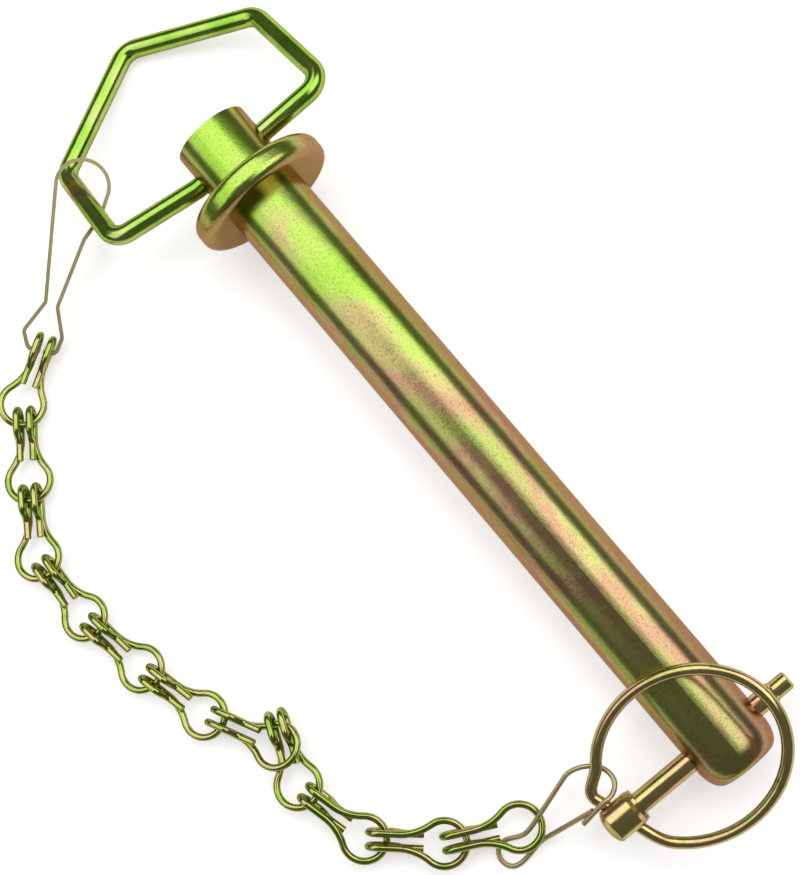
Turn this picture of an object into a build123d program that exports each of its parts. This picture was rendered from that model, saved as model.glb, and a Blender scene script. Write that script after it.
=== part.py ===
"""Hitch pin with a swing handle, a wire tether chain and a ring linchpin.

Millimetres, +Z up, everything as it lies on a bench. The origin is the point where the pin's axis meets the
collar's bearing face. +X runs along the pin toward its tip and +Y toward the linchpin's tail.
"""

import math
import os

from build123d import *

os.makedirs("parts", exist_ok=True)

# ---- pin body
shaft_d = 19.05  # three quarters of an inch
grip_length = 158.75  # bearing face to the linchpin's hole, six and a quarter inches
tip_length = 8.6  # linchpin's hole to the end of the round
tip_taper = 5.9  # length of the rounding at the end
tip_shrink = 3.0  # how far the rounding comes in
tip_dome = 0.5
collar_d = 35.7
collar_t = 6.4
collar_rim = 2.3  # rounding of both rim edges
root_fillet = 1.0  # where the shaft leaves the collar
head_d = 19.1
head_length = 15.25
head_edge = 1.0
hole_break = 0.4  # broken edges of the two cross holes

# ---- linchpin and its ring
shank_d = 5.05
shank_play = 0.15  # radial, in the pin's hole
boss_d = 9.2  # head of the linchpin
boss_length = 9.0
boss_crown = 1.6  # height of its domed end
boss_lip = 0.7  # thin lip on the shank's side
boss_lip_d = 7.6
boss_flat = 7.9  # across the two flats that carry the ring
boss_reach = 28.35  # boss centre to the pin's axis
tail_reach = 19.0  # tail's end to the pin's axis
tail_step = 4.2  # length of the stepped tail
tail_d = 4.4
ring_wire = 2.75
ring_long = 22.4  # half the oval, to the wire's centre
ring_short = 18.5
ring_skew = 19.0  # the two ears are not opposite each other, so the ring snaps over
ring_rise = 22.3  # angle at which the ring lies on the shaft
ring_shift_a = 5.4  # oval's centre, along the ears
ring_shift_b = 20.8  # oval's centre, away from the ears
ear_play = 0.08
ear_depth = 2.4
ear_stub = 2.6  # straight wire outside each flat

# ---- handle
handle_wire = 4.8
handle_play = 0.10
handle_bend = 5.0
handle_peak = 49.5  # hinge line to the peak
handle_near_shoulder = 31.0
handle_far_shoulder = 29.6
handle_near_corner = 4.7  # the near leg leans back, the far one is straight
handle_near_width = 33.8  # from the pin's axis to each side
handle_far_width = 28.5
handle_far_shoulder_width = 26.9
handle_peak_side = -2.9
handle_leg = 10.8  # where the near leg starts to lean
handle_slip = -3.0  # the wire's butt joint lies off the middle of the head
handle_butt = 1.2

# ---- chain links, one wire each
link_wire = 1.7
link_loop = 5.15  # radius of the round loop
link_length = 15.0  # hooks to loop centre
link_hook = 2.4  # radius of the hooks
link_half_gap = 1.6  # each hook to the middle
link_waist = 12.0  # radius of the flare into the loop
link_fold_end = 10.3  # where the folded legs are cut
link_fold_gap = 1.85  # folded leg over the straight leg
link_mouth = 2.6  # open part of the hook
link_close = 4.0  # length over which the folded leg comes down
# how the chain lies: direction and distance from the loop before, roll to the left
chain_start = (-7.6, -78.3)
chain_lie = (
    (-56.5, 0.0, 18.0),
    (-33.5, 18.8, 8.0),
    (-31.0, 19.1, 2.0),
    (0.4, 18.7, 0.0),
    (10.1, 18.8, 0.0),
    (15.7, 19.1, 0.0),
    (29.6, 19.1, 10.0),
    (-12.1, 10.3, 0.0),
    (13.8, 19.7, 0.0),
    (48.0, 18.5, 0.0),
    (63.2, 17.5, 0.0),
)
doubled_link = 8  # lies back under the loop that it hooks
doubled_heading = -20.7
doubled_lift = 0.3  # how high its hooks hold the wire
first_turned = 9  # from here on the links lie on their folded legs
usual_pitch = 18.8
chain_end_lift = 2.9  # far side of the last loop over the bench

# ---- upper clip, a bent strip
strip_t = 0.9
strip_w = 2.0
bulb_r = 6.35
clip_grip = 23.0  # hinge line to the place where the bulb holds the handle
clip_ride = 2.2  # the wire sits this far from the bulb's centre
clip_lean = 24.0
clip_seat = 1.3  # place of its curled ends in the first link's hooks
clip_neck = 12.0  # length of the curled eye
clip_eye_a = 5.4
clip_eye_b = 4.0
clip_end_gap = 0.7
clip_bend = 1.6

# ---- lower clip, a bent wire
clip_wire = 1.2


def wire_end(path):
    """The plane across a path at its start."""
    wire = path.wire()
    return Plane(origin=wire @ 0, z_dir=wire % 0)


def flat(degrees):
    """A level direction."""
    return Vector(math.cos(math.radians(degrees)), math.sin(math.radians(degrees)), 0)


# ---- pin body: it lies on its collar's rim and on its tip
shaft_r = shaft_d / 2
collar_r = collar_d / 2
rest_span = grip_length + tip_length - tip_taper + collar_rim
lie = math.degrees(math.asin((collar_r - shaft_r) / rest_span))
along = Vector(math.cos(math.radians(lie)), 0, -math.sin(math.radians(lie)))
across = Vector(math.sin(math.radians(lie)), 0, math.cos(math.radians(lie)))
floor = (along * -collar_rim - across * collar_r).Z
pin_side = Plane(origin=(0, 0, 0), x_dir=along, z_dir=(0, -1, 0))
pin_axis = Axis((0, 0, 0), along)
linchpin_hole = along * grip_length
hinge = along * -(collar_t + head_length / 2)
tip_start = grip_length + tip_length - tip_taper
tip_end = grip_length + tip_length
dome_r = ((shaft_r - tip_shrink) ** 2 + tip_dome**2) / (2 * tip_dome)
dome_turn = math.degrees(math.asin((shaft_r - tip_shrink) / dome_r))

with BuildPart() as hitch_pin:
    with BuildSketch(pin_side) as pin_profile:
        with BuildLine():
            Polyline(
                (tip_start, shaft_r),
                (0, shaft_r),
                (0, collar_r),
                (-collar_t, collar_r),
                (-collar_t, head_d / 2),
                (-collar_t - head_length, head_d / 2),
                (-collar_t - head_length, 0),
                (tip_end + tip_dome, 0),
            )
            EllipticalCenterArc((tip_start, shaft_r - tip_shrink), tip_taper, tip_shrink, 0, arc_size=90)
            CenterArc((tip_end + tip_dome - dome_r, 0), dome_r, 0, dome_turn)
        make_face()
        corners = pin_profile.vertices()
        fillet(corners.filter_by(lambda v: v.Y > collar_r - 0.01), collar_rim)
        fillet(corners.filter_by(lambda v: abs(v.X) < 0.01 and v.Y < shaft_r + 0.01), root_fillet)
        fillet(corners.filter_by(lambda v: v.X < -collar_t - 1 and v.Y > 1), head_edge)
    revolve(axis=pin_axis)
    with BuildSketch(Plane(origin=linchpin_hole, z_dir=(0, 1, 0))):
        Circle(shank_d / 2 + shank_play)
    extrude(amount=collar_d, both=True, mode=Mode.SUBTRACT)
    with BuildSketch(Plane(origin=hinge, z_dir=(0, 1, 0))):
        Circle(handle_wire / 2 + handle_play)
    extrude(amount=collar_d, both=True, mode=Mode.SUBTRACT)
    hole_edges = hitch_pin.edges().filter_by(GeomType.BSPLINE)
    chamfer(hole_edges.filter_by(lambda e: abs(e.center().Y) > 6), hole_break)

# ---- handle: it swings about the head's hole and lies with its peak on the bench
peak_turn = math.radians(180 - 2 * 57.5) / 2
peak_cut = handle_bend * (1 / math.cos(peak_turn) - 1)
droop = math.asin((hinge.Z - floor - handle_wire / 2) / (handle_peak - peak_cut))
reach = Vector(-math.cos(droop), 0, -math.sin(droop))
handle_plane = Plane(origin=hinge, x_dir=reach, z_dir=(math.sin(droop), 0, -math.cos(droop)))

with BuildPart() as handle:
    with BuildLine(handle_plane) as handle_path:
        FilletPolyline(
            (0, handle_slip - handle_butt / 2),
            (0, -handle_leg),
            (handle_near_corner, -handle_near_width),
            (handle_near_shoulder, -handle_near_width),
            (handle_peak, handle_peak_side),
            (handle_far_shoulder, handle_far_shoulder_width),
            (0, handle_far_width),
            (0, handle_slip + handle_butt / 2),
            radius=handle_bend,
        )
    with BuildSketch(wire_end(handle_path)):
        Circle(handle_wire / 2)
    sweep()

# ---- linchpin: it lies across the pin, head toward -Y
linchpin_plane = Plane(origin=linchpin_hole, x_dir=(0, 1, 0), z_dir=(1, 0, 0))
boss_in = -boss_reach + boss_length / 2
boss_out = -boss_reach - boss_length / 2
ear_line = Vector(math.cos(math.radians(ring_skew)), math.sin(math.radians(ring_skew)), 0)
ear_side = Vector(-math.sin(math.radians(ring_skew)), math.cos(math.radians(ring_skew)), 0)
boss_centre = linchpin_hole + Vector(0, -boss_reach, 0)
rise = math.radians(ring_rise)
ring_up = ear_side * math.cos(rise) + Vector(0, 0, math.sin(rise))
ring_plane = Plane(origin=boss_centre, x_dir=ear_line, z_dir=ear_line.cross(ring_up))

with BuildPart() as linchpin:
    with BuildSketch(linchpin_plane) as linchpin_profile:
        with BuildLine():
            Polyline(
                (boss_out, 0),
                (tail_reach, 0),
                (tail_reach, tail_d / 2),
                (tail_reach - tail_step, tail_d / 2),
                (tail_reach - tail_step - 0.5, shank_d / 2),
                (boss_in, shank_d / 2),
                (boss_in, boss_lip_d / 2),
                (boss_in - boss_lip, boss_lip_d / 2),
                (boss_in - boss_lip - 0.9, boss_d / 2),
                (boss_out + boss_crown, boss_d / 2),
            )
            ThreePointArc(
                (boss_out + boss_crown, boss_d / 2),
                (boss_out + boss_crown * 0.3, boss_d / 2 * 0.72),
                (boss_out, 0),
            )
        make_face()
    revolve(axis=Axis((linchpin_hole.X, 0, linchpin_hole.Z), (0, 1, 0)))
    with BuildSketch(Plane(origin=boss_centre, x_dir=(0, 1, 0), z_dir=(0, 0, 1))):
        Rectangle(boss_length * 2, boss_d * 3)
        Rectangle(boss_length * 3, boss_flat, mode=Mode.SUBTRACT)
    extrude(amount=boss_d, both=True, mode=Mode.SUBTRACT)
    with BuildSketch(Plane(origin=boss_centre, z_dir=ear_line)):
        Circle(ring_wire / 2 + ear_play)
    extrude(amount=boss_d, both=True, mode=Mode.SUBTRACT)
    tail_end = linchpin.edges().filter_by(lambda e: abs(e.center().Y - tail_reach) < 0.01)
    chamfer(tail_end, 0.5)


# ---- linchpin ring: an oval that runs into two straight ears
ring_leave_far = -137.0  # where the oval runs into the ears, round its centre
ring_leave_near = 144.7
ear_inner = boss_flat / 2 - ear_depth
ear_outer = boss_flat / 2 + ear_stub

with BuildPart() as linchpin_ring:
    with BuildLine(ring_plane) as ring_path:
        far_ear = Line((ear_inner, 0), (ear_outer, 0))
        oval = EllipticalCenterArc(
            (ring_shift_a, ring_shift_b),
            ring_long,
            ring_short,
            ring_leave_far,
            arc_size=ring_leave_near - ring_leave_far,
            rotation=90 - ring_skew,
        )
        near_ear = Line((-ear_outer, 0), (-ear_inner, 0))
        Spline(far_ear @ 1, oval @ 0, tangents=(far_ear % 1, oval % 0))
        Spline(oval @ 1, near_ear @ 0, tangents=(oval % 1, near_ear % 0))
    with BuildSketch(wire_end(ring_path)):
        Circle(ring_wire / 2)
    sweep()

# ---- chain: the loop centres in plan, then each link's height and slope from the link that hooks it
count = len(chain_lie)
centres = [Vector(*chain_start, 0)]
for direction, pitch, _ in chain_lie[1:]:
    centres.append(centres[-1] + flat(direction) * pitch)
headings = [direction for direction, _, _ in chain_lie]
headings[doubled_link - 1] = doubled_heading

# where each link's hooks hold the loop before it, along the link
seats = [clip_seat]
for i in range(1, count):
    back = centres[i - 1] - centres[i]
    along_link = back.dot(flat(headings[i]))
    aside = back.dot(flat(headings[i] + 90))
    to_wire = math.sqrt(link_loop**2 - aside**2)
    if i + 1 == doubled_link:
        to_wire = -to_wire
    seats.append(link_length + along_link + to_wire)

starts = []
slopes = []
next_seat = chain_end_lift + floor
next_hold = flat(headings[-1]) * link_loop
for i in reversed(range(count)):
    roll = math.radians(chain_lie[i][2])
    start = floor + link_wire / 2 + link_half_gap * math.sin(roll)
    hook_side = link_hook * math.cos(roll)
    if i + 1 >= first_turned:
        start += 2 * link_hook + link_mouth * link_hook / usual_pitch
        hook_side = -link_hook
    run = link_length + next_hold.dot(flat(headings[i]))
    tilt = -math.tan(roll) * next_hold.dot(flat(headings[i] + 90))
    slope = (next_seat - start - tilt) / run
    starts.insert(0, start)
    slopes.insert(0, slope)
    next_seat = start + hook_side + seats[i] * slope
    if i + 1 == doubled_link:
        next_seat += doubled_lift
    next_hold = centres[i] - flat(headings[i]) * (link_length - seats[i]) - centres[i - 1]

link_planes = []
for i in range(count):
    slope = math.asin(slopes[i])
    level = flat(headings[i])
    side = flat(headings[i] + 90)
    ahead = level * math.cos(slope) + Vector(0, 0, math.sin(slope))
    roll = math.radians(chain_lie[i][2])
    up = ahead.cross(side) * math.cos(roll) + side * math.sin(roll)
    if i + 1 >= first_turned:
        up = up * -1
    foot = centres[i] - level * (link_length * math.cos(slope)) + Vector(0, 0, starts[i])
    link_planes.append(Plane(origin=foot, x_dir=ahead, z_dir=up))

# centre of the flare's arc, tangent to the straight leg and to the loop
flare_back = math.sqrt((link_waist + link_loop) ** 2 - (link_half_gap + link_waist) ** 2)
flare_x = link_length - flare_back
flare_turn = math.atan2(link_half_gap + link_waist, flare_back)
join_x = link_length - link_loop * math.cos(flare_turn)
join_y = link_loop * math.sin(flare_turn)
flare_mid = math.pi / 2 - (math.pi / 2 - flare_turn) / 2
mid_x = flare_x + link_waist * math.cos(flare_mid)
mid_y = link_half_gap + link_waist * (1 - math.sin(flare_mid))
top = 2 * link_hook

links = []
for i in range(count):
    with BuildPart() as link:
        with BuildLine(link_planes[i]) as link_path:
            for side in (1, -1):
                gap = side * link_half_gap
                folded = Line((link_fold_end, gap, link_fold_gap), (link_mouth + link_close, gap, link_fold_gap))
                over = Line((link_mouth, gap, top), (0, gap, top))
                Spline(folded @ 1, over @ 0, tangents=(folded % 1, over % 0))
                ThreePointArc((0, gap, top), (-link_hook, gap, link_hook), (0, gap, 0))
                Line((0, gap, 0), (flare_x, gap, 0))
                ThreePointArc((flare_x, gap, 0), (mid_x, side * mid_y, 0), (join_x, side * join_y, 0))
            ThreePointArc((join_x, join_y, 0), (link_length + link_loop, 0, 0), (join_x, -join_y, 0))
        with BuildSketch(wire_end(link_path)):
            Circle(link_wire / 2)
        sweep()
    links.append(link)

# ---- upper clip: bulb round the handle's near side, curled ends in the first link
held = handle_plane.from_local_coords(Vector(clip_grip, -handle_near_width, 0))
clip_foot = link_planes[0].from_local_coords(Vector(clip_seat, 0, link_hook))
clip_down = (clip_foot - held).normalized()
clip_origin = held - clip_down * clip_ride
clip_length = (clip_foot - clip_origin).length
level_side = clip_down.cross(Vector(0, 0, 1)).normalized()
lean = math.radians(clip_lean)
clip_side = level_side.cross(clip_down) * math.sin(lean) + level_side * math.cos(lean)
clip_plane = Plane(origin=clip_origin, x_dir=clip_down, z_dir=clip_down.cross(clip_side))
leave_a = math.radians(81.2)
leave_b = math.radians(84.0)

with BuildPart() as upper_clip:
    with BuildSketch(clip_plane):
        with BuildLine():
            CenterArc((0, 0), bulb_r, math.degrees(leave_a), 360 - math.degrees(leave_a + leave_b))
            FilletPolyline(
                (bulb_r * math.cos(leave_a), bulb_r * math.sin(leave_a)),
                (clip_length - clip_neck, 1.9),
                (clip_length - 4.0, clip_eye_a),
                (clip_length, clip_eye_a - 2.0),
                (clip_length, clip_end_gap / 2),
                radius=clip_bend,
            )
            FilletPolyline(
                (bulb_r * math.cos(leave_b), -bulb_r * math.sin(leave_b)),
                (6.0, -5.85),
                (12.5, -3.4),
                (clip_length - clip_neck + 0.5, -1.1),
                (clip_length - 4.4, -clip_eye_b),
                (clip_length, -clip_eye_b + 0.6),
                (clip_length, -clip_end_gap / 2),
                radius=clip_bend,
            )
        trace(line_width=strip_t)
    extrude(amount=strip_w / 2, both=True)

# ---- lower clip: an eye on the bench through the last loop, a bow round the ring's near ear
last = centres[-1]


def over_bench(x, y, height):
    return (last.X + x, last.Y + y, floor + height)


with BuildPart() as lower_clip:
    with BuildLine() as lower_path:
        short_strap = Line(over_bench(7.2, 16.0, 11.2), over_bench(5.6, 2.5, 1.5))
        long_strap = Line(over_bench(0.7, 5.6, 5.0), over_bench(-2.2, 15.5, 8.2))
        Spline(
            short_strap @ 1,
            over_bench(6.3, -3.2, 0.65),
            over_bench(5.6, -7.4, 0.65),
            over_bench(2.4, -8.2, 0.65),
            over_bench(0.3, -6.2, 0.75),
            over_bench(1.1, -2.6, 1.7),
            long_strap @ 0,
            tangents=(short_strap % 1, long_strap % 0),
        )
        free_end = Line(over_bench(7.4, 18.2, 12.0), over_bench(8.2, 12.4, 9.6))
        Spline(
            long_strap @ 1,
            over_bench(-1.2, 20.6, 9.2),
            over_bench(1.8, 23.6, 9.5),
            over_bench(5.6, 23.6, 10.7),
            over_bench(7.3, 21.0, 12.0),
            free_end @ 0,
            tangents=(long_strap % 1, free_end % 0),
        )
    with BuildSketch(wire_end(lower_path)):
        Circle(clip_wire / 2)
    sweep()

pieces = {
    "hitch_pin": hitch_pin,
    "handle": handle,
    "upper_clip": upper_clip,
    "lower_clip": lower_clip,
    "linchpin": linchpin,
    "linchpin_ring": linchpin_ring,
}
for i, link in enumerate(links):
    pieces[f"chain_link_{i + 1:02d}"] = link
for name, piece in pieces.items():
    piece.part.label = name
    export_step(piece.part, f"parts/{name}.step")
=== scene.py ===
"""Looks of the hitch pin: yellow chromate plating on every steel piece, a pale floor and soft studio light.

Metres, in the frame of the CAD part: +X along the pin toward its tip, +Y toward the linchpin's tail, +Z up.
"""

import bpy
from mathutils import Matrix, Vector


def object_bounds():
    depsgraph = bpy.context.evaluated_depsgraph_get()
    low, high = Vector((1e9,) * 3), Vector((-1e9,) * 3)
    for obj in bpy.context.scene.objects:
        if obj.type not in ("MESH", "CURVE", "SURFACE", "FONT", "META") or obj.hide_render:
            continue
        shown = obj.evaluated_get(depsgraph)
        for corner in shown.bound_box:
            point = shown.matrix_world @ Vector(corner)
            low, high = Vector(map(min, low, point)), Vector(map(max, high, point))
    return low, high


MM = 0.001
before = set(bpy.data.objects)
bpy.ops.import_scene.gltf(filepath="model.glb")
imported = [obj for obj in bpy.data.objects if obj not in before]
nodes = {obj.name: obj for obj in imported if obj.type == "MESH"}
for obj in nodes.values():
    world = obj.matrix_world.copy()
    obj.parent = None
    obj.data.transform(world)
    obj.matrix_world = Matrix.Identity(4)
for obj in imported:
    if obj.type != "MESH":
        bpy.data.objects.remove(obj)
cad_box = [list(corner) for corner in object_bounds()]


# ---- small helpers
def linear(code):
    """The linear colour of an sRGB hex code."""
    out = []
    for k in (0, 2, 4):
        c = int(code[k : k + 2], 16) / 255
        out.append(c / 12.92 if c <= 0.04045 else ((c + 0.055) / 1.055) ** 2.4)
    return (*out, 1.0)


def add(tree, kind, links=None, **settings):
    """Adds a node. Settings name properties or input sockets, links maps input sockets to output sockets."""
    made = tree.nodes.new("ShaderNode" + kind)
    for key, value in settings.items():
        if hasattr(made, key):
            setattr(made, key, value)
    for key, value in settings.items():
        if not hasattr(made, key):
            made.inputs[key.replace("_", " ")].default_value = value
    for key, socket in (links or {}).items():
        tree.links.new(socket, made.inputs[key])
    return made


def ramp(tree, value, stops):
    """A colour ramp over stops of (place, hex code)."""
    made = add(tree, "ValToRGB", {"Fac": value})
    band = made.color_ramp
    while len(band.elements) < len(stops):
        band.elements.new(0.5)
    for element, (place, code) in zip(band.elements, stops):
        element.position = place
        element.color = linear(code)
    return made.outputs["Color"]


def noise(tree, place, size_mm, detail=2.0, rough=0.5, twist=0.0):
    """Noise whose features are about size_mm across."""
    made = add(tree, "TexNoise", {"Vector": place}, Scale=1 / (size_mm * MM), Detail=detail, Roughness=rough)
    made.inputs["Distortion"].default_value = twist
    return made.outputs["Fac"]


def mixed(tree, factor, a, b):
    """Colour a turned into b by a factor."""
    made = add(tree, "Mix", data_type="RGBA")
    tree.links.new(factor, made.inputs[0])
    for socket, value in ((made.inputs[6], a), (made.inputs[7], b)):
        if isinstance(value, str):
            socket.default_value = linear(value)
        else:
            tree.links.new(value, socket)
    return made.outputs[2]


def math_node(tree, operation, a, b):
    """One number from one or two numbers or sockets."""
    made = add(tree, "Math", operation=operation)
    for socket, value in ((made.inputs[0], a), (made.inputs[1], b)):
        if isinstance(value, (int, float)):
            socket.default_value = value
        else:
            tree.links.new(value, socket)
    return made.outputs[0]


most_flank_sheen = 0.78  # share of the painted copper sheen on the flanks where it is strongest


def plating(
    name,
    patches,
    side,
    grain,
    rough,
    tint,
    patch_mm,
    stretch=1.0,
    drift=0.0,
    flank=(0.75, 0.15),
    pitted=0.35,
):
    """Yellow chromate zinc: interference colours in soft patches, a painted copper sheen on the flanks that
    face away from the top, over fine grain.
    """
    made = bpy.data.materials.new(name)
    made.use_nodes = True
    tree = made.node_tree
    tree.nodes.clear()
    place = add(tree, "TexCoord").outputs
    spot = place["Object"]
    # patches of lime, straw, tan and pink: the film's thickness wanders, more along the bar than across it
    drawn = add(tree, "Mapping", {"Vector": spot})
    drawn.inputs["Scale"].default_value = (1 / stretch, 1.0, 1.0)
    broad = noise(tree, drawn.outputs["Vector"], patch_mm, 3.0, 0.55, 0.5)
    along = add(tree, "SeparateXYZ", {"Vector": spot}).outputs["X"]
    film = add(tree, "Math", {"Value": along}, operation="MULTIPLY_ADD").outputs[0]
    film.node.inputs[1].default_value = drift
    tree.links.new(broad, film.node.inputs[2])
    colour = ramp(tree, film, patches)
    # painted sheen: flanks facing away from the top are mixed toward a copper colour, standing in for the
    # slanted interference colour and the floor's reflection at the edges
    up = add(tree, "SeparateXYZ", {"Vector": place["Normal"]}).outputs["Z"]
    wobble = math_node(tree, "MULTIPLY", math_node(tree, "SUBTRACT", broad, 0.5), 0.9)
    facing = math_node(tree, "ADD", up, wobble)
    turned = add(tree, "MapRange", {"Value": facing}, interpolation_type="SMOOTHSTEP")
    turned.inputs["From Min"].default_value = flank[0]
    turned.inputs["From Max"].default_value = flank[1]
    turned.inputs["To Max"].default_value = most_flank_sheen
    # mix the painted copper sheen colour into the flanks
    colour = mixed(tree, turned.outputs["Result"], colour, side)
    # grain: tiny dark pits that break up the reflections
    speck = noise(tree, spot, grain, 3.0, 0.7)
    pits = add(tree, "MapRange", {"Value": speck})
    pits.inputs["From Min"].default_value = 0.47
    pits.inputs["From Max"].default_value = 0.33
    pits.inputs["To Max"].default_value = pitted
    colour = mixed(tree, pits.outputs["Result"], colour, "2c2412")
    # the surface rolls a little under the grain, so reflections waver
    wave = noise(tree, spot, grain * 14, 2.0)
    height = math_node(tree, "ADD", speck, math_node(tree, "MULTIPLY", wave, 3.0))
    bump = add(tree, "Bump", {"Height": height}, Strength=0.4, Distance=grain * MM * 0.12)
    gloss = add(tree, "MapRange", {"Value": broad})
    gloss.inputs["To Min"].default_value = rough * 0.8
    gloss.inputs["To Max"].default_value = rough * 1.25
    surface = add(
        tree,
        "BsdfPrincipled",
        {"Base Color": colour, "Roughness": gloss.outputs["Result"], "Normal": bump.outputs["Normal"]},
        Metallic=1.0,
    )
    surface.inputs["Specular Tint"].default_value = linear(tint)
    add(tree, "OutputMaterial", {"Surface": surface.outputs["BSDF"]})
    return made


# each finish's second colour is the painted copper sheen of its flanks
# the bar: lime by the collar, then straw and tan, with pink toward the tip
bar_finish = plating(
    "yellow_chromate_on_ground_bar",
    ((0.38, "a4d04c"), (0.50, "b4d260"), (0.59, "c4be78"), (0.67, "c89c7c"), (0.80, "b0bc66")),
    "ac7858",
    grain=0.45,
    rough=0.22,
    tint="e8d2c4",
    patch_mm=20.0,
    stretch=2.2,
    drift=1.1,
    flank=(0.80, 0.50),
    pitted=0.45,
)
# the handle: the brightest green of all, with hard dark reflections
handle_finish = plating(
    "yellow_chromate_on_bright_wire",
    ((0.35, "8cbe42"), (0.5, "a4cc58"), (0.62, "b8cc74"), (0.74, "b49c74")),
    "948a54",
    grain=0.4,
    rough=0.15,
    tint="e0d0b4",
    patch_mm=14.0,
    flank=(0.55, -0.2),
    pitted=0.2,
)
linchpin_finish = plating(
    "yellow_chromate_golden_olive",
    ((0.32, "b8b868"), (0.48, "d6ce86"), (0.6, "dcb88c"), (0.72, "b4cc6c")),
    "a4825a",
    grain=0.35,
    rough=0.16,
    tint="ecdcc4",
    patch_mm=8.0,
    pitted=0.25,
)
chain_finish = plating(
    "yellow_chromate_olive_chain_wire",
    ((0.34, "90b24c"), (0.5, "b0bc64"), (0.62, "c2b67c"), (0.75, "ba986c")),
    "7c7440",
    grain=0.3,
    rough=0.12,
    tint="e0d6b4",
    patch_mm=5.0,
    flank=(0.5, -0.2),
    pitted=0.25,
)
clip_finish = plating(
    "yellow_chromate_beige_strip",
    ((0.34, "c4c48c"), (0.5, "d6c89c"), (0.62, "dabc94"), (0.75, "ccb284")),
    "cab08a",
    grain=0.35,
    rough=0.45,
    tint="f0e4d8",
    patch_mm=6.0,
    pitted=0.15,
)

finishes = {
    "hitch_pin": bar_finish,
    "handle": handle_finish,
    "linchpin": linchpin_finish,
    "linchpin_ring": linchpin_finish,
    "upper_clip": clip_finish,
    "lower_clip": clip_finish,
}
for name, piece in nodes.items():
    piece.data.materials.clear()
    piece.data.materials.append(finishes.get(name, chain_finish))
    piece.data.polygons.foreach_set("use_smooth", [True] * len(piece.data.polygons))

# ---- floor, light and camera
lowest = cad_box[0][2]
half_floor = 3.0
glow_to_all = 0.28
glow_to_camera = 0.25  # on top of the other
corners = [(x, y, lowest) for x, y in ((-1, -1), (1, -1), (1, 1), (-1, 1))]
floor_mesh = bpy.data.meshes.new("floor")
floor_mesh.from_pydata([(x * half_floor, y * half_floor, z) for x, y, z in corners], [], [(0, 1, 2, 3)])
floor = bpy.data.objects.new("floor", floor_mesh)
bpy.context.scene.collection.objects.link(floor)
paper = bpy.data.materials.new("white_paper_sweep")
paper.use_nodes = True
tree = paper.node_tree
tree.nodes.clear()
sheet = add(tree, "BsdfDiffuse", Color=linear("fafafa"))
glow = add(tree, "Emission", Color=linear("ffffff"))
seen = add(tree, "LightPath").outputs["Is Camera Ray"]
# the sheet glows faintly, as paper on a light table does, and a little more where the camera sees it
extra = math_node(tree, "MULTIPLY", seen, glow_to_camera)
tree.links.new(math_node(tree, "ADD", extra, glow_to_all), glow.inputs["Strength"])
both = add(tree, "AddShader")
tree.links.new(sheet.outputs[0], both.inputs[0])
tree.links.new(glow.outputs[0], both.inputs[1])
add(tree, "OutputMaterial", {"Surface": both.outputs[0]})
floor_mesh.materials.append(paper)


def softbox(name, centre, size, power):
    """A rectangular light that faces straight down."""
    data = bpy.data.lights.new(name, "AREA")
    data.shape = "RECTANGLE"
    data.size, data.size_y = size
    data.energy = power
    lamp = bpy.data.objects.new(name, data)
    lamp.location = centre
    bpy.context.scene.collection.objects.link(lamp)


softbox("ceiling_over_handle", (-0.37, 0.0, 0.58), (0.70, 0.70), 2.2)
softbox("ceiling_near_side", (-0.24, -0.70, 0.58), (0.62, 0.70), 1.45)
softbox("ceiling_far_side", (0.12, 0.58, 0.58), (0.66, 0.90), 3.0)

world = bpy.data.worlds.new("studio")
bpy.context.scene.world = world
world.use_nodes = True
world.node_tree.nodes["Background"].inputs["Color"].default_value = linear("f2ede6")
world.node_tree.nodes["Background"].inputs["Strength"].default_value = 0.14

camera_data = bpy.data.cameras.new("camera")
camera_data.sensor_fit = "HORIZONTAL"
camera_data.sensor_width = 36.0
camera_data.lens = 73.61
camera_data.clip_start = 0.01
camera = bpy.data.objects.new("camera", camera_data)
right = Vector((0.631043, 0.759781, -0.15658))
down = Vector((0.751471, -0.648814, -0.119715))
ahead = Vector((-0.192549, -0.04212, -0.980383))
turn = Matrix((right, -down, -ahead)).transposed().to_4x4()
camera.matrix_world = Matrix.Translation((0.134093, 0.003698, 0.363505)) @ turn
bpy.context.scene.collection.objects.link(camera)
bpy.context.scene.camera = camera
bpy.context.scene.view_settings.view_transform = "Standard"
